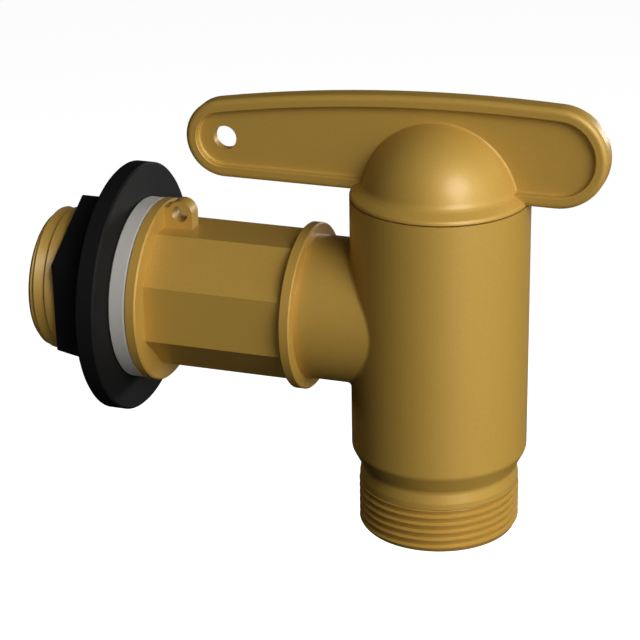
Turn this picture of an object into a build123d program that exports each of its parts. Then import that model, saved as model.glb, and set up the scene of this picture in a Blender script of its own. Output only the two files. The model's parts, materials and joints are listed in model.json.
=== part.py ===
"""Quarter-turn lever tap for a water butt, with its washer and flanged back nut."""
import os
from math import asin, cos, degrees, hypot, sin, sqrt

from build123d import *

os.makedirs("parts", exist_ok=True)

# Millimetres. The origin lies on the inlet axis, in the flange's seat on the washer.
# +X runs from the seat to the barrel, +Z is up, and the outlet points down.
# The tap is drawn shut, with the long arm of its lever above the inlet.

# Fits
running_gap = 0.05      # radial gap of a turning fit
seating_gap = 0.05      # radial gap of a piece that only sits in its bore
end_gap = 0.1           # gap at the end of a turning piece

# Barrel: the upright tube that holds the valve
barrel_x = 48.85        # from the seat to the barrel's axis
barrel_radius = 14.4
barrel_wall = 2.5
barrel_top = 21.2       # above the inlet axis
barrel_drop = 21.7      # below the inlet axis, down to the cone
barrel_foot_round = 1.6
cone_height = 3.2
neck_round = 1.2

# Outlet: a 3/4 inch male pipe thread, drawn as a plain cylinder of its major diameter
outlet_radius = 13.22
outlet_length = 7.6
outlet_chamfer = 0.35
neck_height = 3.0
neck_step = 0.45        # how far the neck stands inside the thread
neck_flare = 1.9        # height of the flare from the neck down to the plain band
band_step = 0.12        # how far the plain band stands inside the thread
outlet_bore_radius = 10.0
outlet_bore_chamfer = 0.6

# Inlet spigot, from the barrel back to the seat
tube_radius = 11.86
tube_fillet = 0.7
collar_x = 25.97        # back face of the collar
collar_radius = 13.8
collar_thickness = 1.85
collar_chamfer = 0.2
octagon_across_corners = 25.0
flange_radius = 15.35
flange_thickness = 1.96
flange_chamfer = 0.25

# Threaded stub behind the flange
stub_length = 19.05
thread_radius = 12.1
thread_depth = 0.9
thread_chamfer = 1.0
inlet_bore_radius = 8.0
port_radius = 6.0       # where the spigot's passage enters the barrel
port_passage = 3.0      # length of the narrow passage outside the barrel's bore

# Lug for the shackle of a padlock, on the octagon's top flat
lug_thickness = 2.7
lug_reach = 2.75        # from the flange's front face to the hole
lug_height = 2.55       # from the octagon's flat to the hole
lug_radius = 2.15
lug_hole_radius = 1.4

# Washer and back nut
washer_inset = 0.15     # inside the flange's edge
washer_thickness = 2.9
washer_gap = 0.3
washer_chamfer = 0.25
nut_flange_radius = 20.95
nut_flange_thickness = 3.3
nut_flange_chamfer = 0.3
hexagon_across_corners = 30.5
hexagon_length = 7.3
hexagon_chamfer = 0.25
nut_gap = 0.1

# Valve plug
plug_half_height = 12.5
plug_hollow_radius = 7.0
plug_roof = 7.6         # height of the hollow above the inlet axis
ring_height = 10.4      # of the O-rings above and below the inlet axis
ring_section = 1.4
ring_groove_width = 1.8
seal_width = 1.5
seal_land = 0.5         # between the port and the seal around it
seal_depth = 1.4
stem_radius = 5.0
drive_side = 7.0
drive_gap = 0.05
drive_height = 7.4      # engaged height above the underside of the lever's brim

# Pieces that hold the plug down
thrust_washer_thickness = 0.8
bush_height = 4.4
clip_thickness = 1.0
clip_bite = 0.75        # how deep the clip sits in the barrel's wall
clip_width = 1.7
clip_gap_angle = 36
clip_ear_radius = 1.35
clip_ear_hole_radius = 0.6

# Lever: a rimmed plate through a dome, with a low brim over the barrel
seam_gap = 0.25
plate_thickness = 4.0
plate_web = 1.5
plate_edge_round = 0.9
rim_width = 1.9
rim_round = 0.38        # where the rim runs out into the sunk panel
rim_edge_round = 0.18   # inner edge of the rim
long_arm = 35.9         # from the barrel's axis to the hole
long_arm_radius = 6.45
short_arm = 18.9
short_arm_radius = 8.1
crown_radius = 260.0    # of the arched top edge
lever_hole_radius = 1.95
dome_radius = 12.75
dome_drop = 0.8         # from the brim's underside down to the dome's centre
dome_wall = 2.0
dome_round = 0.35       # where the dome grows out of the plate
brim_edge = 0.45
brim_height = 1.95
brim_round = 0.8
brim_hollow_round = 2.0
plain_margin = 0.3      # how far the dome's root starts above the brim's underside
hub_radius = 6.2

# Stops that end the lever's quarter turn
turn_angle = 90
stop_angle = 24         # width of the lever's tab
stop_slack = 0.6        # degrees of play at each end
stop_width = 1.0
stop_depth = 1.5
stop_gap = 0.15

# Sizes that follow
bore_radius = barrel_radius - barrel_wall
cone_top = -barrel_drop
neck_radius = outlet_radius - neck_step
band_radius = outlet_radius - band_step
neck_top = cone_top - cone_height
outlet_top = neck_top - neck_height
outlet_end = outlet_top - outlet_length
plug_seat = -plug_half_height - end_gap
core_radius = thread_radius - thread_depth
washer_radius = flange_radius - washer_inset
nut_face = -washer_thickness
nut_back = nut_face - nut_flange_thickness - hexagon_length
octagon_flat = octagon_across_corners / 2 * sqrt(0.5 + sqrt(0.125))
washer_bottom = plug_half_height + end_gap
bush_bottom = washer_bottom + thrust_washer_thickness
clip_bottom = bush_bottom + bush_height
brim_bottom = barrel_top + seam_gap
dome_centre = brim_bottom - dome_drop

barrel_axis = Axis((barrel_x, 0, 0), (0, 0, 1))
barrel_side = Plane(origin=(barrel_x, 0, 0), x_dir=(1, 0, 0), z_dir=(0, -1, 0))


def across_barrel(height):
    """Level plane at a height above the inlet axis, centred on the barrel."""
    return Plane(origin=(barrel_x, 0, height), x_dir=(1, 0, 0), z_dir=(0, 0, 1))


def ring_sector(inner, outer, start, sweep):
    """Face of a piece of a ring, for the stops and the clip."""
    with BuildLine() as edge:
        far = CenterArc((0, 0), outer, start, sweep)
        near = CenterArc((0, 0), inner, start, sweep)
        Line(far @ 0, near @ 0)
        Line(far @ 1, near @ 1)
    make_face(edge.edges())


def corner_at(sketch, across, up):
    """Corner of a profile at a place in the sketch's own plane."""
    return sketch.vertices().sort_by_distance((across, up, 0))[0]


def rims(part, radius):
    """Round edges of one radius."""
    return part.edges().filter_by(GeomType.CIRCLE).filter_by(lambda e: abs(e.radius - radius) < 1e-4)


def ring(plane, inner, outer, height):
    """Plain ring that stands on a plane."""
    with BuildSketch(plane) as face:
        Circle(outer)
        Circle(inner, mode=Mode.SUBTRACT)
    extrude(face.sketch, amount=height)


def lever_outline(inset=0.0):
    """Face of the lever, with its edge moved inwards by the inset."""
    bottom = brim_bottom + inset
    left_r = long_arm_radius - inset
    right_r = short_arm_radius - inset
    left = Vector(-long_arm, brim_bottom + long_arm_radius)
    right = Vector(short_arm, brim_bottom + short_arm_radius)
    # The crown's centre is as far from each end's centre as the radii differ
    span = hypot(right.X - left.X, right.Y - left.Y)
    to_left = crown_radius - long_arm_radius
    to_right = crown_radius - short_arm_radius
    along = (to_left**2 - to_right**2 + span**2) / (2 * span)
    drop = sqrt(to_left**2 - along**2)
    run = (right - left).normalized()
    crown = left + run * along + Vector(run.Y, -run.X) * drop
    left_top = left + (left - crown).normalized() * left_r
    right_top = right + (right - crown).normalized() * right_r
    crown_top = Vector(crown.X, crown.Y + crown_radius - inset)
    with BuildLine() as edge:
        ThreePointArc((left.X, bottom), (left.X - left_r, left.Y), left_top)
        ThreePointArc(left_top, crown_top, right_top)
        ThreePointArc(right_top, (right.X + right_r, right.Y), (right.X, bottom))
        Line((right.X, bottom), (left.X, bottom))
    make_face(edge.edges())


def dome_root(side):
    """Hollow round the dome where it grows out of one face of the plate's web.

    Sphere and face meet in a circle round a level axis through the dome's centre, so the
    round is revolved about that axis, over the top from just above the brim's underside.
    """
    rise = dome_drop + plain_margin
    lift = asin(rise / dome_radius)
    face = plate_web / 2
    centre = (sqrt((dome_radius + dome_round) ** 2 - (face + dome_round) ** 2), face + dome_round)
    share = dome_radius / (dome_radius + dome_round)
    on_sphere = Vector(centre[0] * share, centre[1] * share)
    on_face = Vector(centre[0], face)
    hollow = Vector(*centre) - (Vector(*centre) - (on_sphere + on_face) / 2).normalized() * dome_round
    buried = dome_radius - dome_wall / 2
    x_dir = (cos(lift), 0, sin(lift))
    across = Plane(origin=(barrel_x, 0, dome_centre), x_dir=x_dir, z_dir=(-sin(lift), 0, cos(lift)))
    with BuildSketch(across) as profile:
        with BuildLine() as edge:
            ThreePointArc(on_sphere, hollow, on_face)
            Polyline(on_face, (on_face.X, 0), (buried, 0), (buried, on_sphere.Y), on_sphere)
        make_face(edge.edges())
        if side < 0:
            mirror(about=Plane.XZ, mode=Mode.REPLACE)
    level_axis = Axis((barrel_x, 0, dome_centre), (0, -1, 0))
    revolve(profile.sketch, axis=level_axis, revolution_arc=180 - 2 * degrees(lift))


def seal_ring(inner, outer, floor, face):
    """Ring round the port on the inlet's side, bent to the curve of the plug."""
    with BuildSketch(Plane(origin=(barrel_x, 0, 0), x_dir=(0, 1, 0), z_dir=(-1, 0, 0))) as face_on:
        Circle(outer)
        Circle(inner, mode=Mode.SUBTRACT)
    extrude(face_on.sketch, amount=barrel_radius)
    with BuildSketch(across_barrel(-outer)) as shell:
        Circle(face)
        Circle(floor, mode=Mode.SUBTRACT)
    extrude(shell.sketch, amount=2 * outer, mode=Mode.INTERSECT)


# Body: barrel, spigot, flange, stub and lug, moulded in one
with BuildPart() as body:
    with BuildSketch(barrel_side) as barrel_profile:
        with BuildLine():
            Polyline(
                (0, barrel_top),
                (barrel_radius, barrel_top),
                (barrel_radius, cone_top),
                (neck_radius, neck_top),
                (band_radius, neck_top - neck_flare),
                (band_radius, outlet_top + band_step),
                (outlet_radius, outlet_top),
                (outlet_radius, outlet_end + outlet_chamfer),
                (outlet_radius - outlet_chamfer, outlet_end),
                (0, outlet_end),
                close=True,
            )
        make_face()
        fillet(corner_at(barrel_profile, barrel_radius, cone_top), barrel_foot_round)
        fillet(corner_at(barrel_profile, neck_radius, neck_top), neck_round)
    revolve(axis=barrel_axis)

    collar_front = collar_x + collar_thickness
    with BuildSketch(Plane.YZ.offset(collar_front)):
        Circle(tube_radius)
    extrude(amount=barrel_x - collar_front)
    joint = body.edges().filter_by(GeomType.BSPLINE)
    fillet(joint, tube_fillet)

    with BuildSketch(Plane.YZ.offset(collar_x)):
        Circle(collar_radius)
    extrude(amount=collar_thickness)
    chamfer(rims(body, collar_radius), collar_chamfer)

    with BuildSketch(Plane.YZ.offset(flange_thickness)):
        RegularPolygon(octagon_across_corners / 2, 8, rotation=22.5)
    extrude(amount=collar_x - flange_thickness)

    with BuildSketch(Plane.YZ):
        Circle(flange_radius)
    extrude(amount=flange_thickness)
    chamfer(rims(body, flange_radius), flange_chamfer)

    # The lug is a round eye on a web that joins the flange to the octagon
    with BuildSketch(Plane.XZ):
        eye_x = flange_thickness + lug_reach
        eye_z = octagon_flat + lug_height
        with Locations((eye_x, eye_z)):
            Circle(lug_radius)
        with Locations((flange_thickness / 2, octagon_flat - lug_radius)):
            foot_length = eye_x + lug_radius - flange_thickness / 2
            Rectangle(foot_length, lug_radius + lug_height, align=(Align.MIN, Align.MIN))
        with Locations((flange_thickness / 2, eye_z)):
            web_height = flange_radius - flange_chamfer - eye_z
            Rectangle(eye_x - flange_thickness / 2, web_height, align=(Align.MIN, Align.MIN))
        with Locations((eye_x, eye_z)):
            Circle(lug_hole_radius, mode=Mode.SUBTRACT)
    extrude(amount=lug_thickness / 2, both=True)

    # Behind the flange the nut runs on the thread's core, and the bare end shows its crests
    with BuildSketch(Plane.YZ.offset(-stub_length)):
        Circle(core_radius)
    extrude(amount=stub_length)
    with BuildSketch(Plane.YZ.offset(-stub_length)):
        Circle(thread_radius)
    extrude(amount=stub_length + nut_back - nut_gap)
    stub_rim = body.faces().sort_by(Axis.X)[0].outer_wire().edges()
    chamfer(stub_rim, thread_chamfer)

    # Passages
    with BuildSketch(Plane.YZ.offset(-stub_length)):
        Circle(inlet_bore_radius)
    passage_end = barrel_x - bore_radius - port_passage
    extrude(amount=stub_length + passage_end, mode=Mode.SUBTRACT)
    with BuildSketch(Plane.YZ.offset(passage_end)):
        Circle(port_radius)
    extrude(amount=barrel_x - passage_end, mode=Mode.SUBTRACT)
    with BuildSketch(across_barrel(plug_seat)):
        Circle(bore_radius)
    extrude(amount=barrel_top - plug_seat, mode=Mode.SUBTRACT)
    with BuildSketch(across_barrel(outlet_end)):
        Circle(outlet_bore_radius)
    extrude(amount=plug_seat - outlet_end, mode=Mode.SUBTRACT)
    outlet_mouth = body.faces().sort_by(Axis.Z)[0].inner_wires()[0].edges()
    chamfer(outlet_mouth, outlet_bore_chamfer)

    # Groove for the clip, and the pocket in the top rim that the lever's tab runs in
    with BuildSketch(across_barrel(clip_bottom)):
        Circle(bore_radius + clip_bite + seating_gap)
    extrude(amount=clip_thickness + seating_gap, mode=Mode.SUBTRACT)
    with BuildSketch(across_barrel(barrel_top)):
        pocket_start = -stop_angle / 2 - stop_slack
        pocket_sweep = turn_angle + stop_angle + 2 * stop_slack
        pocket_radius = bore_radius + stop_width + 2 * stop_gap
        ring_sector(bore_radius - stop_gap, pocket_radius, pocket_start, pocket_sweep)
    extrude(amount=-(stop_depth + stop_gap), mode=Mode.SUBTRACT)

body.part.label = "body"

# Valve plug: a hollow cylinder open below, with a port in its side and a square drive on top
with BuildPart() as valve_plug:
    plug_radius = bore_radius - running_gap
    drive_top = brim_bottom + drive_height
    groove_floor = bore_radius - ring_section
    with BuildSketch(across_barrel(-plug_half_height)):
        Circle(plug_radius)
    extrude(amount=2 * plug_half_height)
    with BuildSketch(across_barrel(-plug_half_height)):
        Circle(plug_hollow_radius)
    extrude(amount=plug_half_height + plug_roof, mode=Mode.SUBTRACT)
    for level in (-ring_height, ring_height):
        with BuildSketch(across_barrel(level - ring_groove_width / 2)):
            Circle(plug_radius)
            Circle(groove_floor, mode=Mode.SUBTRACT)
        extrude(amount=ring_groove_width, mode=Mode.SUBTRACT)
    with BuildSketch(Plane(origin=(barrel_x, 0, 0), x_dir=(1, 0, 0), z_dir=(0, 1, 0))):
        Circle(port_radius)
    extrude(amount=barrel_radius, mode=Mode.SUBTRACT)
    with BuildSketch(across_barrel(plug_half_height)):
        Circle(stem_radius)
    extrude(amount=barrel_top - plug_half_height)
    with BuildSketch(across_barrel(barrel_top)):
        Rectangle(drive_side, drive_side)
    extrude(amount=drive_top - barrel_top)
    chamfer(valve_plug.faces().sort_by(Axis.Z)[-1].edges(), 0.5)

# The seal sits in a groove round the side that faces the inlet when the tap is shut
seal_inner = port_radius + seal_land
seal_outer = seal_inner + seal_width
seal_floor = bore_radius - seal_depth
with BuildPart() as seal_groove:
    groove_outer = seal_outer + seating_gap
    seal_ring(seal_inner - seating_gap, groove_outer, seal_floor - seating_gap, barrel_radius)
with BuildPart() as grooved_plug:
    add(valve_plug.part)
    add(seal_groove.part, mode=Mode.SUBTRACT)
grooved_plug.part.label = "valve_plug"

with BuildPart() as port_seal:
    seal_ring(seal_inner, seal_outer, seal_floor, bore_radius - running_gap / 2)
port_seal.part.label = "port_seal"


def o_ring(level):
    """O-ring in its groove round the plug, just clear of the barrel's bore."""
    section = (ring_section - running_gap) / 2
    with BuildPart() as turned:
        with BuildSketch(barrel_side):
            with Locations((bore_radius - running_gap / 2 - section, level)):
                Circle(section)
        revolve(axis=barrel_axis)
    return turned.part


upper_o_ring = o_ring(ring_height)
upper_o_ring.label = "upper_o_ring"
lower_o_ring = o_ring(-ring_height)
lower_o_ring.label = "lower_o_ring"

# Slip washer and bush, which hold the plug down and guide its stem
with BuildPart() as thrust_washer:
    ring(across_barrel(washer_bottom), stem_radius + 2 * running_gap, bore_radius - 2 * seating_gap,
         thrust_washer_thickness)
thrust_washer.part.label = "thrust_washer"

with BuildPart() as stem_bush:
    ring(across_barrel(bush_bottom), stem_radius + running_gap, bore_radius - seating_gap, bush_height)
    bush_rims = stem_bush.faces().sort_by(Axis.Z)[-1].edges()
    chamfer(bush_rims, 0.3)
stem_bush.part.label = "stem_bush"

# Clip: an open spring ring with an ear at each end
with BuildPart() as retaining_clip:
    clip_outer = bore_radius + clip_bite
    clip_inner = clip_outer - clip_width
    ear_place = clip_inner - clip_ear_radius * 0.6
    with BuildSketch(across_barrel(clip_bottom)):
        ring_sector(clip_inner, clip_outer, 180 + clip_gap_angle / 2, 360 - clip_gap_angle)
        with PolarLocations(ear_place, 2, 180 - clip_gap_angle / 2, clip_gap_angle, endpoint=True):
            Circle(clip_ear_radius)
            Circle(clip_ear_hole_radius, mode=Mode.SUBTRACT)
    extrude(amount=clip_thickness)
retaining_clip.part.label = "retaining_clip"

# Handle: rimmed lever plate, dome, brim and drive hub, moulded in one
with BuildPart() as handle:
    with BuildSketch(barrel_side):
        lever_outline()
    extrude(amount=plate_thickness / 2, both=True)
    fillet(handle.faces().filter_by(Axis.Y).edges(), plate_edge_round)
    pocket_depth = (plate_thickness - plate_web) / 2
    for side in (-1, 1):
        with BuildSketch(barrel_side.offset(side * plate_thickness / 2)):
            lever_outline(rim_width)
        extrude(amount=-side * pocket_depth, mode=Mode.SUBTRACT)
    # The rim's inner edge is rounded over, and runs out into the sunk panel
    level_faces = handle.faces().filter_by(Axis.Y)
    panels = level_faces.filter_by(lambda f: abs(abs(f.center().Y) - plate_web / 2) < 1e-4)
    fillet(panels.edges(), rim_round)
    level_faces = handle.faces().filter_by(Axis.Y)
    rim_tops = level_faces.filter_by(lambda f: abs(abs(f.center().Y) - plate_thickness / 2) < 1e-4)
    inner_rims = [edge for face in rim_tops for wire in face.inner_wires() for edge in wire.edges()]
    fillet(inner_rims, rim_edge_round)
    with BuildSketch(barrel_side):
        with Locations((-long_arm, brim_bottom + long_arm_radius)):
            Circle(lever_hole_radius)
    extrude(amount=plate_thickness, both=True, mode=Mode.SUBTRACT)

    dome_foot_z = brim_bottom + brim_height
    dome_foot_r = sqrt(dome_radius**2 - (dome_foot_z - dome_centre) ** 2)
    with BuildSketch(barrel_side) as dome_profile:
        with BuildLine():
            slope = Polyline(
                (0, brim_bottom),
                (barrel_radius, brim_bottom),
                (barrel_radius, brim_bottom + brim_edge),
                (dome_foot_r, dome_foot_z),
            )
            crown_z = dome_centre + dome_radius
            shoulder = dome_radius * sqrt(0.5)
            ThreePointArc(slope @ 1, (shoulder, dome_centre + shoulder), (0, crown_z))
            Line((0, crown_z), (0, brim_bottom))
        make_face()
        fillet(corner_at(dome_profile, barrel_radius, brim_bottom + brim_edge), brim_round)
        fillet(corner_at(dome_profile, dome_foot_r, dome_foot_z), brim_hollow_round)
    revolve(axis=barrel_axis)
    for side in (-1, 1):
        dome_root(side)

    # Cored out round a hub with a square socket for the plug's drive
    cavity_radius = dome_radius - dome_wall
    cavity_foot = sqrt(cavity_radius**2 - dome_drop**2)
    cavity_top = dome_centre + sqrt(cavity_radius**2 - hub_radius**2)
    with BuildSketch(barrel_side):
        with BuildLine():
            ceiling_r = (cavity_foot + hub_radius) / 2
            ceiling = (ceiling_r, dome_centre + sqrt(cavity_radius**2 - ceiling_r**2))
            ThreePointArc((cavity_foot, brim_bottom), ceiling, (hub_radius, cavity_top))
            Polyline((hub_radius, cavity_top), (hub_radius, brim_bottom), (cavity_foot, brim_bottom))
        make_face()
    revolve(axis=barrel_axis, mode=Mode.SUBTRACT)
    with BuildSketch(across_barrel(brim_bottom)):
        socket = drive_side + 2 * drive_gap
        Rectangle(socket, socket)
    extrude(amount=drive_height + end_gap, mode=Mode.SUBTRACT)

    # Tab that meets the ends of the barrel's pocket
    with BuildSketch(across_barrel(brim_bottom)):
        tab_inner = bore_radius + stop_gap
        ring_sector(tab_inner, tab_inner + stop_width, -stop_angle / 2, stop_angle)
    extrude(amount=-(stop_depth + seam_gap))

handle.part.label = "handle"

# Soft washer between the flange and the wall of the butt
with BuildPart() as flange_washer:
    ring(Plane.YZ.offset(-washer_thickness), core_radius + washer_gap, washer_radius, washer_thickness)
    chamfer(rims(flange_washer, washer_radius), washer_chamfer)
flange_washer.part.label = "flange_washer"

# Back nut with its own flange
with BuildPart() as back_nut:
    with BuildSketch(Plane.YZ.offset(nut_face)):
        Circle(nut_flange_radius)
    extrude(amount=-nut_flange_thickness)
    chamfer(rims(back_nut, nut_flange_radius), nut_flange_chamfer)
    with BuildSketch(Plane.YZ.offset(nut_back)):
        RegularPolygon(hexagon_across_corners / 2, 6, rotation=30)
    extrude(amount=hexagon_length)
    chamfer(back_nut.faces().sort_by(Axis.X)[0].edges(), hexagon_chamfer)
    with BuildSketch(Plane.YZ.offset(nut_back)):
        Circle(core_radius + nut_gap)
    extrude(amount=nut_face - nut_back, mode=Mode.SUBTRACT)
back_nut.part.label = "back_nut"

export_step(body.part, "parts/body.step")
export_step(grooved_plug.part, "parts/valve_plug.step")
export_step(port_seal.part, "parts/port_seal.step")
export_step(upper_o_ring, "parts/upper_o_ring.step")
export_step(lower_o_ring, "parts/lower_o_ring.step")
export_step(thrust_washer.part, "parts/thrust_washer.step")
export_step(stem_bush.part, "parts/stem_bush.step")
export_step(retaining_clip.part, "parts/retaining_clip.step")
export_step(handle.part, "parts/handle.step")
export_step(flange_washer.part, "parts/flange_washer.step")
export_step(back_nut.part, "parts/back_nut.step")
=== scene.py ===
"""Finishes, threads, camera and studio for a water butt tap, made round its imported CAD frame."""
import json
import math

import bmesh
import bpy
from bpy.props import FloatProperty, FloatVectorProperty, PointerProperty
from bpy.types import Operator, Panel, PropertyGroup
from mathutils import Matrix, Vector

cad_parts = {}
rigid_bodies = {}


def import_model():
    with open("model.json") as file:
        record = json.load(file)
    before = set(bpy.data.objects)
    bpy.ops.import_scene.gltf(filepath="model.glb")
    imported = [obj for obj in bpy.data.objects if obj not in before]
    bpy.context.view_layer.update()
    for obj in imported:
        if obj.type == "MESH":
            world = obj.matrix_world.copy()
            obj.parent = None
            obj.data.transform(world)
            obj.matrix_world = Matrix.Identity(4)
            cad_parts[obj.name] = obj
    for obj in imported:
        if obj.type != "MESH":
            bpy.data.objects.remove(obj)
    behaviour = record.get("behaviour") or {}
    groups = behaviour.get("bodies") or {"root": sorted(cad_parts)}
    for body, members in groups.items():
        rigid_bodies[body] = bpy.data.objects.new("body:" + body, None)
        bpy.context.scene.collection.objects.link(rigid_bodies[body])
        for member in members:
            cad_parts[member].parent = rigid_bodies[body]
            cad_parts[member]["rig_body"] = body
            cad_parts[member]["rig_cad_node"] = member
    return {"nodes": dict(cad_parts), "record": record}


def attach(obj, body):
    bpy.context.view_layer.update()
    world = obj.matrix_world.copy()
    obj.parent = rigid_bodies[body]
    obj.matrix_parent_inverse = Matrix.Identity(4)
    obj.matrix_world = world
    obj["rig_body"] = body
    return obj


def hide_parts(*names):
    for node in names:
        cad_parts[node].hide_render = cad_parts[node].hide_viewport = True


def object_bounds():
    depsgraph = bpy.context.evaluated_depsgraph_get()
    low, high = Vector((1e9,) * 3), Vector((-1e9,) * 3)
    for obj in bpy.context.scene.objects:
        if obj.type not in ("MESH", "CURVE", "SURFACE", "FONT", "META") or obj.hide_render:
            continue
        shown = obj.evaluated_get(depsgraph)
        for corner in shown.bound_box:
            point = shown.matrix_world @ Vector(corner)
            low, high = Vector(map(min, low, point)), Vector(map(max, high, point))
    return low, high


bl_info = {
    "name": "Water Butt Tap",
    "version": (1, 0, 0),
    "blender": (4, 5, 0),
    "location": "3D View > Sidebar > Tap",
    "description": "Threads, finishes and studio for a lever tap on a rainwater butt",
    "category": "Object",
}

MM = 0.001
FRONT = Vector((0, -1, 0))

# Forms of a thread over one pitch, crest to crest, as shares of the pitch and of the depth
BUTTRESS = ((0, 1), (0.05, 1), (0.8, 0), (0.85, 0), (1, 1))
SAWTOOTH = ((0, 1), (0.05, 1), (0.22, 0), (0.3, 0), (1, 1))
THREAD_SEGMENTS = 180
ROWS_PER_TURN = 20
THREAD_SHARP_ANGLE = math.radians(18)
# Plastic left between the roots of a thread and the inside of its skin
SKIN_WALL = 0.15 * MM
# Points of a skin that lie nearer than this are one
WELD = 0.002 * MM
# How far the body's own points may lie outside a thread's zone and still be drawn in
END_SLACK = 0.01 * MM
WALL_SLACK = 0.05 * MM

# The plain band above the outlet's crests, and the bevels at the threads' ends
OUTLET_BAND = 1.1 * MM
OUTLET_LEAD_IN = 0.12 * MM
OUTLET_LEAD_OUT = 0.35 * MM
INLET_LEAD_OUT = 1.0 * MM

# The point that the camera and the lamps face
AIM = Vector((25.532, 8.156, -6.113)) * MM
SENSOR_WIDTH = 36
NEAREST_SEEN = 10 * MM
LAMP_DISTANCE = 0.9
FLOOR_DROP = 400 * MM
FLOOR_RADIUS = 4.0
FLOOR_CORNERS = 96

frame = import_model()
cad_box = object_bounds()
nodes = frame["nodes"]
mounts = {mount["name"]: mount for mount in frame["record"]["mounts"]}


def linear(hex_colour):
    """Scene-linear RGB of an sRGB colour such as #c29d50."""
    channels = [int(hex_colour[i:i + 2], 16) / 255 for i in (1, 3, 5)]
    return tuple(c / 12.92 if c <= 0.04045 else ((c + 0.055) / 1.055) ** 2.4 for c in channels)


def per_size(millimetres):
    """Texture scale whose features are about this wide, as the coordinates are in metres."""
    return 1 / (millimetres * MM)


class TapFinishes(PropertyGroup):
    """Colours of the tap's plastics and rubbers."""

    gold: FloatVectorProperty(
        name="Gold", description="Body colour of the pearl pigment in the ABS",
        subtype="COLOR", size=3, min=0, max=1, default=linear("#c59e47"))
    gold_deep: FloatVectorProperty(
        name="Gold, deep", description="Colour between the flakes of the pigment",
        subtype="COLOR", size=3, min=0, max=1, default=linear("#c19943"))
    nut_black: FloatVectorProperty(
        name="Nut", description="Colour of the back nut's polypropylene",
        subtype="COLOR", size=3, min=0, max=1, default=linear("#121212"))
    washer_grey: FloatVectorProperty(
        name="Washer", description="Colour of the flange washer's rubber",
        subtype="COLOR", size=3, min=0, max=1, default=linear("#b4b1aa"))
    acetal: FloatVectorProperty(
        name="Acetal", description="Colour of the plug, the bush and the slip washer",
        subtype="COLOR", size=3, min=0, max=1, default=linear("#dedbd2"))


class TapThreads(PropertyGroup):
    """Sizes of the two threads on the body."""

    inlet_pitch: FloatProperty(
        name="Inlet pitch", description="Distance between the crests on the stub",
        unit="LENGTH", min=1 * MM, max=3 * MM, default=1.97 * MM)
    inlet_depth: FloatProperty(
        name="Inlet depth", description="Height of the crests above the roots on the stub",
        unit="LENGTH", min=0.2 * MM, max=0.85 * MM, default=0.65 * MM)
    outlet_pitch: FloatProperty(
        name="Outlet pitch", description="Distance between the crests on the outlet",
        unit="LENGTH", min=0.8 * MM, max=3 * MM, default=1.36 * MM)
    outlet_depth: FloatProperty(
        name="Outlet depth", description="Height of the crests above the roots on the outlet",
        unit="LENGTH", min=0.1 * MM, max=1 * MM, default=0.55 * MM)


class TapStudio(PropertyGroup):
    """Place of the camera and strength of the lights."""

    distance: FloatProperty(
        name="Distance", description="From the camera to the middle of the tap",
        unit="LENGTH", min=0.1, max=2, default=377.8 * MM)
    azimuth: FloatProperty(
        name="Azimuth", description="Turn of the camera round the tap",
        subtype="ANGLE", default=math.radians(19.24))
    elevation: FloatProperty(
        name="Elevation", description="Height of the camera above the horizon",
        subtype="ANGLE", default=math.radians(22.75))
    roll: FloatProperty(
        name="Roll", description="Tilt of the camera about its own line of sight",
        subtype="ANGLE", default=math.radians(-1.01))
    lens: FloatProperty(
        name="Lens", description="Focal length of the camera",
        unit="CAMERA", min=20, max=400, default=125.75)
    key_power: FloatProperty(
        name="Key light", description="Power of the high lamp in front, at the right",
        unit="POWER", min=0, max=100, default=4.8)
    low_power: FloatProperty(
        name="Low light", description="Power of the low lamp in front, at the right",
        unit="POWER", min=0, max=100, default=1.7)
    side_power: FloatProperty(
        name="Side light", description="Power of the lamp at the right",
        unit="POWER", min=0, max=100, default=5.4)
    back_power: FloatProperty(
        name="Back light", description="Power of the lamp behind the tap, at the right",
        unit="POWER", min=0, max=100, default=2.0)
    left_power: FloatProperty(
        name="Left light", description="Power of the lamp behind the tap, at the left",
        unit="POWER", min=0, max=100, default=2.5)


def add_node(tree, kind, inputs=None, **settings):
    """Adds one node, sets its properties, and sets or links its inputs."""
    node = tree.nodes.new(kind)
    for name, value in settings.items():
        setattr(node, name, value)
    for name, value in (inputs or {}).items():
        if isinstance(value, bpy.types.NodeSocket):
            tree.links.new(value, node.inputs[name])
        else:
            node.inputs[name].default_value = value
    return node


def new_finish(name):
    """An empty material with its output, and the coordinates that its patterns follow."""
    material = bpy.data.materials.new(name)
    material.use_nodes = True
    tree = material.node_tree
    tree.nodes.clear()
    output = add_node(tree, "ShaderNodeOutputMaterial")
    place = add_node(tree, "ShaderNodeTexCoord").outputs["Object"]
    return material, tree, output, place


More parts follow.
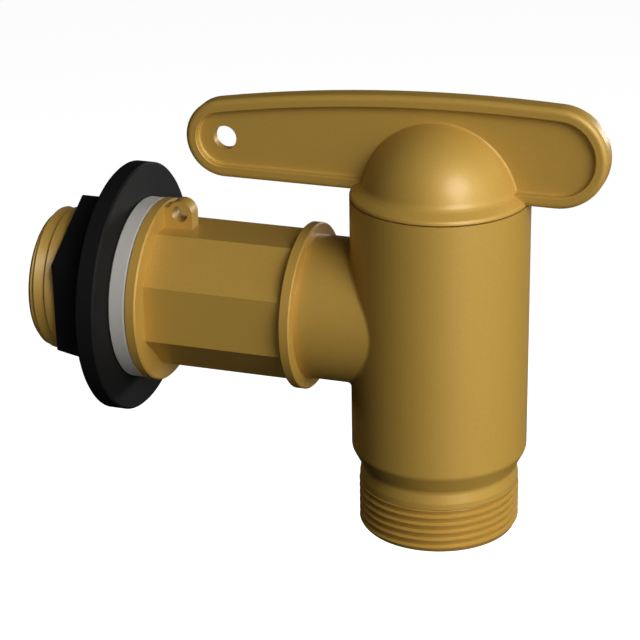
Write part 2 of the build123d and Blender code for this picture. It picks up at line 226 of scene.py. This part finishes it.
def gold_abs():
    """ABS, injection moulded, with pearl pigment in the melt.

    The flakes lie along the surface and scatter light as a rough metal does, and the clear
    skin of plastic over them, the coat, adds a faint and sharper gloss.
    """
    finishes = bpy.context.scene.tap_finishes
    material, tree, output, place = new_finish("abs_gold_pearl_moulded")
    # Real flakes are about 0.05 mm wide: they are drawn at 0.35 mm, so that they show at all
    flakes = add_node(tree, "ShaderNodeTexNoise",
                      {"Vector": place, "Scale": per_size(0.35), "Detail": 2.0})
    shade = add_node(tree, "ShaderNodeValToRGB", {"Fac": flakes.outputs["Fac"]})
    shade.color_ramp.elements[0].position = 0.3
    shade.color_ramp.elements[0].color = (*finishes.gold_deep, 1)
    shade.color_ramp.elements[1].position = 0.7
    shade.color_ramp.elements[1].color = (*finishes.gold, 1)
    # The melt leaves slow waves of gloss some 9 mm long behind the gates
    flow = add_node(tree, "ShaderNodeTexNoise", {"Vector": place, "Scale": per_size(9.0), "Detail": 1.0})
    gloss = add_node(tree, "ShaderNodeMapRange",
                     {"Value": flow.outputs["Fac"], "To Min": 0.55, "To Max": 0.62})
    skin = add_node(tree, "ShaderNodeTexNoise", {"Vector": place, "Scale": per_size(0.6), "Detail": 3.0})
    relief = add_node(tree, "ShaderNodeBump",
                      {"Height": skin.outputs["Fac"], "Strength": 0.05, "Distance": 0.05 * MM})
    surface = add_node(tree, "ShaderNodeBsdfPrincipled", {
        "Base Color": shade.outputs["Color"], "Metallic": 0.3, "Roughness": gloss.outputs["Result"],
        "Coat Weight": 0.6, "Coat Roughness": 0.3, "Normal": relief.outputs["Normal"]})
    tree.links.new(surface.outputs["BSDF"], output.inputs["Surface"])
    return material


def black_polypropylene():
    """Polypropylene, moulded in a spark-eroded tool: black, dull, with an even fine grain."""
    finishes = bpy.context.scene.tap_finishes
    material, tree, output, place = new_finish("polypropylene_black_moulded")
    # A spark-eroded grain of 0.05 mm is drawn at 0.25 mm, so that it shows at all
    grain = add_node(tree, "ShaderNodeTexNoise",
                     {"Vector": place, "Scale": per_size(0.25), "Detail": 3.0})
    relief = add_node(tree, "ShaderNodeBump",
                      {"Height": grain.outputs["Fac"], "Strength": 0.25, "Distance": 0.05 * MM})
    wear = add_node(tree, "ShaderNodeTexNoise", {"Vector": place, "Scale": per_size(7.0), "Detail": 2.0})
    dullness = add_node(tree, "ShaderNodeMapRange",
                        {"Value": wear.outputs["Fac"], "To Min": 0.58, "To Max": 0.7})
    surface = add_node(tree, "ShaderNodeBsdfPrincipled", {
        "Base Color": (*finishes.nut_black, 1), "Roughness": dullness.outputs["Result"],
        "IOR": 1.49, "Specular IOR Level": 0.2, "Normal": relief.outputs["Normal"]})
    tree.links.new(surface.outputs["BSDF"], output.inputs["Surface"])
    return material


def grey_rubber():
    """EPDM rubber, punched from calendered sheet: matt and chalky, with a faint mottle."""
    finishes = bpy.context.scene.tap_finishes
    material, tree, output, place = new_finish("epdm_rubber_grey_sheet")
    mottle = add_node(tree, "ShaderNodeTexNoise", {"Vector": place, "Scale": per_size(1.2), "Detail": 4.0})
    tint = add_node(tree, "ShaderNodeHueSaturation", {"Color": (*finishes.washer_grey, 1)})
    value = add_node(tree, "ShaderNodeMapRange",
                     {"Value": mottle.outputs["Fac"], "To Min": 0.93, "To Max": 1.05})
    tree.links.new(value.outputs["Result"], tint.inputs["Value"])
    relief = add_node(tree, "ShaderNodeBump",
                      {"Height": mottle.outputs["Fac"], "Strength": 0.3, "Distance": 0.05 * MM})
    surface = add_node(tree, "ShaderNodeBsdfPrincipled", {
        "Base Color": tint.outputs["Color"], "Roughness": 0.75, "IOR": 1.52,
        "Sheen Weight": 0.1, "Normal": relief.outputs["Normal"]})
    tree.links.new(surface.outputs["BSDF"], output.inputs["Surface"])
    return material


def natural_acetal():
    """Acetal, moulded and left in its natural colour: milky, waxy and fairly smooth."""
    finishes = bpy.context.scene.tap_finishes
    material, tree, output, place = new_finish("acetal_natural_moulded")
    haze = add_node(tree, "ShaderNodeTexNoise", {"Vector": place, "Scale": per_size(3.0), "Detail": 2.0})
    gloss = add_node(tree, "ShaderNodeMapRange",
                     {"Value": haze.outputs["Fac"], "To Min": 0.3, "To Max": 0.4})
    surface = add_node(tree, "ShaderNodeBsdfPrincipled", {
        "Base Color": (*finishes.acetal, 1), "Roughness": gloss.outputs["Result"], "IOR": 1.48,
        "Subsurface Weight": 0.15, "Subsurface Scale": 1 * MM})
    tree.links.new(surface.outputs["BSDF"], output.inputs["Surface"])
    return material


def nitrile_rubber():
    """Nitrile rubber, moulded and greased: black, with a soft wet gloss."""
    material, tree, output, place = new_finish("nitrile_rubber_black_greased")
    grease = add_node(tree, "ShaderNodeTexNoise", {"Vector": place, "Scale": per_size(1.5), "Detail": 2.0})
    gloss = add_node(tree, "ShaderNodeMapRange",
                     {"Value": grease.outputs["Fac"], "To Min": 0.3, "To Max": 0.5})
    surface = add_node(tree, "ShaderNodeBsdfPrincipled", {
        "Base Color": (*linear("#1a1a1b"), 1), "Roughness": gloss.outputs["Result"], "IOR": 1.52})
    tree.links.new(surface.outputs["BSDF"], output.inputs["Surface"])
    return material


def spring_steel():
    """Stainless spring steel, blanked from rolled strip: grey, with fine lines along the strip."""
    material, tree, output, place = new_finish("stainless_steel_rolled")
    along = add_node(tree, "ShaderNodeMapping", {"Vector": place, "Scale": (1.0, 0.05, 1.0)})
    lines = add_node(tree, "ShaderNodeTexNoise",
                     {"Vector": along.outputs["Vector"], "Scale": per_size(0.15), "Detail": 2.0})
    gloss = add_node(tree, "ShaderNodeMapRange",
                     {"Value": lines.outputs["Fac"], "To Min": 0.22, "To Max": 0.38})
    surface = add_node(tree, "ShaderNodeBsdfPrincipled", {
        "Base Color": (*linear("#c4c3c0"), 1), "Metallic": 1.0, "Roughness": gloss.outputs["Result"]})
    tree.links.new(surface.outputs["BSDF"], output.inputs["Surface"])
    return material


def repaint(piece, material):
    """Gives a piece one material in place of those that it came with."""
    piece.data.materials.clear()
    piece.data.materials.append(material)


def frame_from(origin, along, across):
    """Matrix at a point, with its Z axis along one direction and its X axis along another."""
    axes = Matrix((across, along.cross(across), along)).transposed()
    return Matrix.Translation(origin) @ axes.to_4x4()


class ThreadZone:
    """Where a thread lies on the body, read from its mount, and how it is cut.

    The form runs over one pitch, away from the thread's start: each pair is a share of the
    pitch with a share of the depth. Plain is the length before the thread's start. Phase is the
    share of a pitch from there to the first crest at the tap's front. Lead-in and lead-out are
    the bevels at the two ends.
    """

    def __init__(self, mount, pitch, depth, form, plain, phase, lead_in, lead_out):
        self.crest = mount["dims"]["r_mm"] * MM
        self.depth = depth
        # A bevel deeper than the thread would otherwise cut through the skin
        self.core = self.crest - max(depth + SKIN_WALL, lead_out)
        self.pitch = pitch
        self.form = form
        self.phase = phase
        self.lead_in = lead_in
        self.lead_out = lead_out
        along = Vector(mount["axis"])
        straight = mount["dims"]["length_mm"] * MM
        start = Vector(mount["pos_m"]) - along * (straight / 2 - plain)
        self.length = straight - plain + lead_out
        self.place = frame_from(start, along, FRONT)

    def height(self, share):
        """Share of the depth that stands at this share of the pitch."""
        for (near, near_height), (far, far_height) in zip(self.form, self.form[1:]):
            if share <= far:
                return near_height + (far_height - near_height) * (share - near) / (far - near)
        return self.form[-1][1]

    def radius(self, run, turn):
        """Radius at a distance along the thread and a share of a turn."""
        share = (run / self.pitch - turn - self.phase) % 1
        radius = self.crest - self.depth * (1 - self.height(share))
        start_limit = self.crest - self.lead_in + run
        end_limit = self.crest - self.lead_out + (self.length - run)
        return min(radius, start_limit, end_limit)

    def skin(self, name):
        """Closed band whose outside is the helix of crests and roots."""
        mesh = bmesh.new()
        row_step = self.pitch / ROWS_PER_TURN
        rows = range(-2 * ROWS_PER_TURN, int(self.length / row_step) + 2)
        columns = []
        for i in range(THREAD_SEGMENTS + 1):
            turn = i / THREAD_SEGMENTS
            angle = 2 * math.pi * turn
            outward = Vector((math.cos(angle), math.sin(angle), 0))
            lag = (turn + self.phase) * self.pitch
            runs = [min(max(row * row_step + lag, 0), self.length) for row in rows]
            points = [outward * self.radius(run, turn) + Vector((0, 0, run)) for run in runs]
            points.append(outward * self.core + Vector((0, 0, self.length)))
            points.insert(0, outward * self.core)
            columns.append([mesh.verts.new(self.place @ point) for point in points])
        for near, far in zip(columns, columns[1:]):
            for k in range(len(near)):
                # k = 0 closes the band along its inside
                mesh.faces.new((near[k - 1], far[k - 1], far[k], near[k]))
        bmesh.ops.remove_doubles(mesh, verts=mesh.verts, dist=WELD)
        bmesh.ops.dissolve_degenerate(mesh, edges=mesh.edges, dist=WELD)
        bmesh.ops.recalc_face_normals(mesh, faces=mesh.faces)
        data = bpy.data.meshes.new(name)
        mesh.to_mesh(data)
        mesh.free()
        data.shade_smooth()
        data.set_sharp_from_angle(angle=THREAD_SHARP_ANGLE)
        piece = bpy.data.objects.new(name, data)
        bpy.context.collection.objects.link(piece)
        return piece

    def make_room(self, data):
        """Draws a copy of the body in under the thread's roots."""
        to_zone = self.place.inverted()
        for vertex in data.vertices:
            local = to_zone @ vertex.co
            across = math.hypot(local.x, local.y)
            inside = -END_SLACK < local.z < self.length + END_SLACK
            if inside and self.core < across < self.crest + WALL_SLACK:
                local.x *= self.core / across
                local.y *= self.core / across
                vertex.co = self.place @ local


class TAP_OT_body(Operator):
    """Copy the moulded body, cut its two threads and give it the gold ABS"""

    bl_idname = "tap.body"
    bl_label = "Body and Threads"

    def execute(self, context):
        sizes = context.scene.tap_threads
        outlet = ThreadZone(mounts["outlet_thread"], sizes.outlet_pitch, sizes.outlet_depth, BUTTRESS,
                            OUTLET_BAND, phase=0, lead_in=OUTLET_LEAD_IN, lead_out=OUTLET_LEAD_OUT)
        stub = ThreadZone(mounts["inlet_thread"], sizes.inlet_pitch, sizes.inlet_depth, SAWTOOTH,
                          plain=0, phase=0.02, lead_in=0, lead_out=INLET_LEAD_OUT)
        shell = nodes["body"].copy()
        shell.data = nodes["body"].data.copy()
        shell.name = "threaded_body"
        shell.parent = None
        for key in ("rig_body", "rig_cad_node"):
            del shell[key]
        context.collection.objects.link(shell)
        for zone in (outlet, stub):
            zone.make_room(shell.data)
        skins = [outlet.skin("outlet_crests"), stub.skin("inlet_crests")]
        gold = gold_abs()
        for piece in (shell, *skins):
            repaint(piece, gold)
        with context.temp_override(active_object=shell, selected_editable_objects=[shell, *skins]):
            bpy.ops.object.join()
        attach(shell, "tap")
        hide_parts("body")
        return {"FINISHED"}


class TAP_OT_handle(Operator):
    """Give the lever, dome and brim the gold ABS"""

    bl_idname = "tap.handle"
    bl_label = "Lever and Dome"

    def execute(self, context):
        repaint(nodes["handle"], gold_abs())
        return {"FINISHED"}


class TAP_OT_valve(Operator):
    """Give the plug, its bush, slip washer, seals and clip their finishes"""

    bl_idname = "tap.valve"
    bl_label = "Valve Inside"

    def execute(self, context):
        acetal = natural_acetal()
        for name in ("valve_plug", "thrust_washer", "stem_bush"):
            repaint(nodes[name], acetal)
        rubber = nitrile_rubber()
        for name in ("port_seal", "upper_o_ring", "lower_o_ring"):
            repaint(nodes[name], rubber)
        repaint(nodes["retaining_clip"], spring_steel())
        return {"FINISHED"}


class TAP_OT_fixing(Operator):
    """Give the flange washer and the back nut their finishes"""

    bl_idname = "tap.fixing"
    bl_label = "Washer and Back Nut"

    def execute(self, context):
        repaint(nodes["flange_washer"], grey_rubber())
        repaint(nodes["back_nut"], black_polypropylene())
        return {"FINISHED"}


def look_from(azimuth, elevation):
    """Unit vector from the tap to a place round it. Azimuth 0 is in front, and turns to the right."""
    level = math.cos(elevation)
    return Vector((math.sin(azimuth) * level, -math.cos(azimuth) * level, math.sin(elevation)))


def add_lamp(name, azimuth, elevation, size, power, shadows=True, gloss=True):
    """Round area lamp that points at the tap, and shows in its gloss or leaves none."""
    data = bpy.data.lights.new(name, "AREA")
    data.shape = "DISK"
    data.size = size
    data.energy = power
    data.use_shadow = shadows
    lamp = bpy.data.objects.new(name, data)
    back = look_from(math.radians(azimuth), math.radians(elevation))
    lamp.location = AIM + back * LAMP_DISTANCE
    lamp.rotation_euler = back.to_track_quat("Z", "Y").to_euler()
    lamp.visible_glossy = gloss
    bpy.context.collection.objects.link(lamp)


class TAP_OT_studio(Operator):
    """Set up the camera, the lamps, the pale floor and the white surroundings"""

    bl_idname = "tap.studio"
    bl_label = "Studio"

    def execute(self, context):
        studio = context.scene.tap_studio
        self.camera(context, studio)
        self.lamps(studio)
        self.surround(context.scene)
        self.floor(context)
        context.scene.view_settings.view_transform = "Standard"
        return {"FINISHED"}

    def camera(self, context, studio):
        """Camera at the photo's viewing angle."""
        data = bpy.data.cameras.new("photo_view")
        data.lens = studio.lens
        data.sensor_width = SENSOR_WIDTH
        data.clip_start = NEAREST_SEEN
        camera = bpy.data.objects.new("photo_view", data)
        back = look_from(studio.azimuth, studio.elevation)
        upright = back.to_track_quat("Z", "Y").to_matrix()
        rolled = upright @ Matrix.Rotation(studio.roll, 3, "Z")
        camera.matrix_world = Matrix.Translation(AIM + back * studio.distance) @ rolled.to_4x4()
        context.collection.objects.link(camera)
        context.scene.camera = camera

    def lamps(self, studio):
        """Three lamps at the front and the right, and two behind."""
        add_lamp("key_lamp", azimuth=45, elevation=34, size=0.5, power=studio.key_power)
        # The photo's nut and collar throw no shadows, so the low lamp softens theirs
        add_lamp("low_lamp", azimuth=45, elevation=5, size=0.5, power=studio.low_power, shadows=False)
        # The dome shows one highlight, the key lamp's
        add_lamp("side_lamp", azimuth=80, elevation=22, size=0.9, power=studio.side_power, gloss=False)
        # The two behind are level with the tap, and so leave no glare on the faces that look up
        add_lamp("back_lamp", azimuth=165, elevation=0, size=0.2, power=studio.back_power)
        # The barrel's left edge is dark in the photo, so this lamp leaves no gloss there
        add_lamp("left_lamp", azimuth=235, elevation=0, size=0.2, power=studio.left_power, gloss=False)

    def surround(self, scene):
        """Faint surroundings, brighter at the right and darker below, that the camera sees as white."""
        world = bpy.data.worlds.new("studio_surround")
        world.use_nodes = True
        scene.world = world
        tree = world.node_tree
        tree.nodes.clear()
        place = add_node(tree, "ShaderNodeTexCoord")
        axes = add_node(tree, "ShaderNodeSeparateXYZ", {"Vector": place.outputs["Generated"]})
        side = add_node(tree, "ShaderNodeMapRange", {
            "Value": axes.outputs["X"], "From Min": -1.0, "From Max": 1.0, "To Min": 0.004, "To Max": 0.03})
        height = add_node(tree, "ShaderNodeMapRange", {
            "Value": axes.outputs["Z"], "From Min": -0.6, "From Max": 0.3, "To Min": 0.35, "To Max": 1.0})
        strength = add_node(tree, "ShaderNodeMath", operation="MULTIPLY")
        tree.links.new(side.outputs["Result"], strength.inputs[0])
        tree.links.new(height.outputs["Result"], strength.inputs[1])
        light = add_node(tree, "ShaderNodeBackground", {"Strength": strength.outputs["Value"]})
        seen = add_node(tree, "ShaderNodeBackground")
        for shader in (light, seen):
            shader.inputs["Color"].default_value = (1, 1, 1, 1)
        ray = add_node(tree, "ShaderNodeLightPath")
        mix = add_node(tree, "ShaderNodeMixShader", {"Fac": ray.outputs["Is Camera Ray"]})
        # Both of the mix's shader sockets have the same name, so they are linked by number
        tree.links.new(light.outputs["Background"], mix.inputs[1])
        tree.links.new(seen.outputs["Background"], mix.inputs[2])
        output = add_node(tree, "ShaderNodeOutputWorld")
        tree.links.new(mix.outputs["Shader"], output.inputs["Surface"])

    def floor(self, context):
        """Pale floor well below the hanging tap, which throws no light back on it."""
        mesh = bmesh.new()
        bmesh.ops.create_circle(mesh, cap_ends=True, segments=FLOOR_CORNERS, radius=FLOOR_RADIUS)
        data = bpy.data.meshes.new("studio_floor")
        mesh.to_mesh(data)
        mesh.free()
        floor = bpy.data.objects.new("studio_floor", data)
        floor.location = (AIM.x, AIM.y, cad_box[0].z - FLOOR_DROP)
        floor.visible_diffuse = False
        floor.visible_glossy = False
        context.collection.objects.link(floor)
        material, tree, output, place = new_finish("paper_white_matt")
        fibre = add_node(tree, "ShaderNodeTexNoise",
                         {"Vector": place, "Scale": per_size(2.0), "Detail": 3.0})
        relief = add_node(tree, "ShaderNodeBump",
                          {"Height": fibre.outputs["Fac"], "Strength": 0.1, "Distance": 0.1 * MM})
        sheet = add_node(tree, "ShaderNodeBsdfPrincipled", {
            "Base Color": (*linear("#f4f4f4"), 1), "Roughness": 0.9, "Normal": relief.outputs["Normal"],
            "Emission Color": (1, 1, 1, 1), "Emission Strength": 0.92})
        tree.links.new(sheet.outputs["BSDF"], output.inputs["Surface"])
        floor.data.materials.append(material)


class TAP_PT_sidebar(Panel):
    """The tap's pieces and studio, in the order in which they are made"""

    bl_idname = "TAP_PT_sidebar"
    bl_label = "Water Butt Tap"
    bl_space_type = "VIEW_3D"
    bl_region_type = "UI"
    bl_category = "Tap"

    def draw(self, context):
        layout = self.layout
        for group in GROUPS:
            settings = getattr(context.scene, group)
            box = layout.box()
            for name in type(settings).__annotations__:
                box.prop(settings, name)
        for operator in OPERATORS:
            layout.operator(operator.bl_idname)


GROUPS = {"tap_finishes": TapFinishes, "tap_threads": TapThreads, "tap_studio": TapStudio}
OPERATORS = (TAP_OT_studio, TAP_OT_body, TAP_OT_handle, TAP_OT_valve, TAP_OT_fixing)


def register():
    for cls in (*GROUPS.values(), *OPERATORS, TAP_PT_sidebar):
        bpy.utils.register_class(cls)
    for name, group in GROUPS.items():
        setattr(bpy.types.Scene, name, PointerProperty(type=group))


def unregister():
    for name in GROUPS:
        delattr(bpy.types.Scene, name)
    for cls in (TAP_PT_sidebar, *OPERATORS, *GROUPS.values()):
        bpy.utils.unregister_class(cls)


def main():
    register()
    bpy.ops.tap.studio()
    bpy.ops.tap.body()
    bpy.ops.tap.handle()
    bpy.ops.tap.valve()
    bpy.ops.tap.fixing()


if __name__ == "__main__":
    main()
